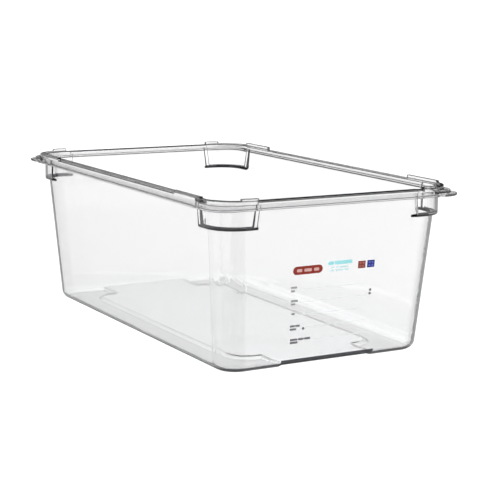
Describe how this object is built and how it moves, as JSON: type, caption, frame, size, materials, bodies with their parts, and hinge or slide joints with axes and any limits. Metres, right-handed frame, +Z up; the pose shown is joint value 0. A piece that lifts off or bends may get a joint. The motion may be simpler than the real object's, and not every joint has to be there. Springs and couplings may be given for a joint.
{
  "type": "food pan",
  "caption": "Deep clear plastic deli food pan with stacking shoulders, a flanged rim with raised corner lugs and a small printed label panel on one end wall.",
  "frame": {"origin": "centre of the pan's footprint, on the surface its feet stand on", "axes": "+X along the pan's length towards the printed end wall, +Y across its width, +Z up"},
  "size_m": [0.53, 0.325, 0.1955],
  "materials": {
    "clear_plastic": "gloss",
    "ink_dark_red": "satin",
    "ink_brown_red": "satin",
    "ink_navy": "satin",
    "ink_cyan": "satin",
    "ink_pale_cyan": "satin",
    "ink_white": "satin",
    "ink_grey": "satin",
    "ink_pale_grey": "satin"
  },
  "bodies": {
    "root": {"pan_body": "clear_plastic", "print_badge": "ink_dark_red", "print_badge_bars": "ink_white", "print_heading_bars": "ink_cyan", "print_caption_bars": "ink_pale_cyan", "print_square_red": "ink_brown_red", "print_square_blue": "ink_navy", "print_square_windows": "ink_white", "print_field_bars": "ink_grey", "print_dots": "ink_grey", "print_write_lines": "ink_pale_grey"}
  },
  "joints": []
}
